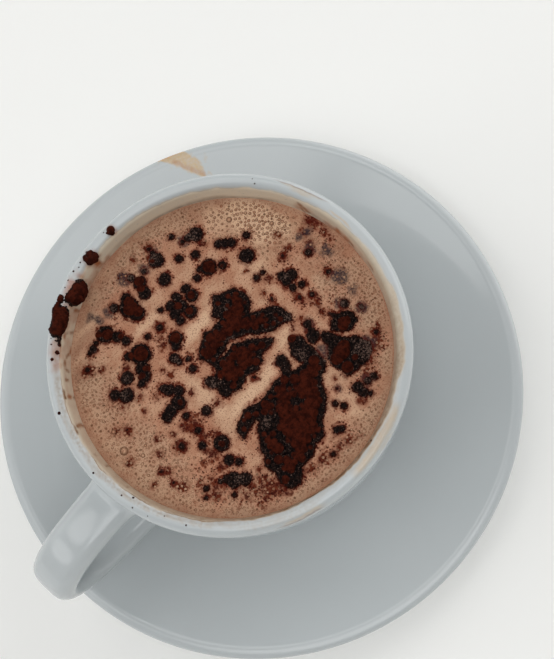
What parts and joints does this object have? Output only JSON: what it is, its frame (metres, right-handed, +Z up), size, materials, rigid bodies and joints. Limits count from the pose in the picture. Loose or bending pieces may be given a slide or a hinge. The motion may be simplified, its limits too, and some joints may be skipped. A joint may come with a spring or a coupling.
{
  "type": "caffe mocha in cup and saucer",
  "caption": "Thick round porcelain coffee cup with a closed loop handle on a wide saucer, filled near its rolled lip with light brown milk foam scattered with clotted cocoa.",
  "frame": {"origin": "on the table, under the middle of the saucer", "axes": "+Z up out of the cup, +X towards the cup's handle"},
  "size_m": [0.16, 0.16, 0.0766],
  "materials": {
    "porcelain": "clear-glazed cool white porcelain with a few dried coffee stains",
    "foam": "wet matt milk foam with fine bubbles and cocoa dust",
    "cocoa": "clotted cocoa powder, dry on top and wet and shiny at its edges"
  },
  "bodies": {
    "root": {"saucer": "porcelain", "cup": "porcelain", "mocha": "foam", "cocoa_side": "cocoa", "cocoa_centre": "cocoa", "cocoa_left": "cocoa", "cocoa_rim_long": "cocoa", "cocoa_rim_round": "cocoa"}
  },
  "joints": []
}
